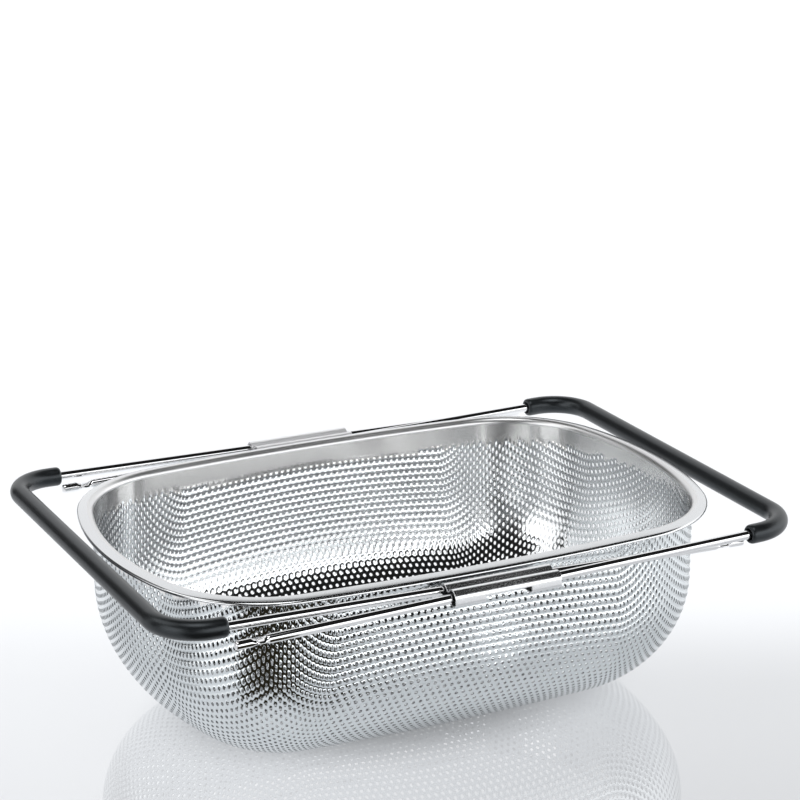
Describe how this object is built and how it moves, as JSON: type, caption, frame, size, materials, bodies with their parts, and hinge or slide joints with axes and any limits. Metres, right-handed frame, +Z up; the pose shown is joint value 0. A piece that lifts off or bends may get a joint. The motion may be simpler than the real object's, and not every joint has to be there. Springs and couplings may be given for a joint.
{
  "type": "extendable colander",
  "caption": "Rounded rectangular steel basket colander with two sliding U-shaped wire handles that reach out over a sink.",
  "frame": {"origin": "centre of the basket's flat floor, on its underside", "axes": "+X along the basket's long sides and the way the right handle slides out, +Y to the back, +Z up"},
  "size_m": [0.3772, 0.2698, 0.1174],
  "materials": {
    "sheet_steel": "polished perforated stainless steel",
    "guide_steel": "bright folded stainless steel",
    "rod_steel": "polished stainless rod",
    "grip_rubber": "satin dark rubber"
  },
  "bodies": {
    "basket": {"basket": "sheet_steel", "front_sleeve": "guide_steel", "back_sleeve": "guide_steel"},
    "left_handle": {"left_handle_wire": "rod_steel", "left_grip": "grip_rubber"},
    "right_handle": {"right_handle_wire": "rod_steel", "right_grip": "grip_rubber"}
  },
  "joints": [
    {"name": "left_handle_slide", "type": "slide", "parent": "basket", "child": "left_handle", "axis": [-0.9998, 0, 0.0192], "range_m": [-0.0022, 0.1032]},
    {"name": "right_handle_slide", "type": "slide", "parent": "basket", "child": "right_handle", "axis": [0.9998, 0, 0.0192], "range_m": [-0.0022, 0.1032]}
  ]
}
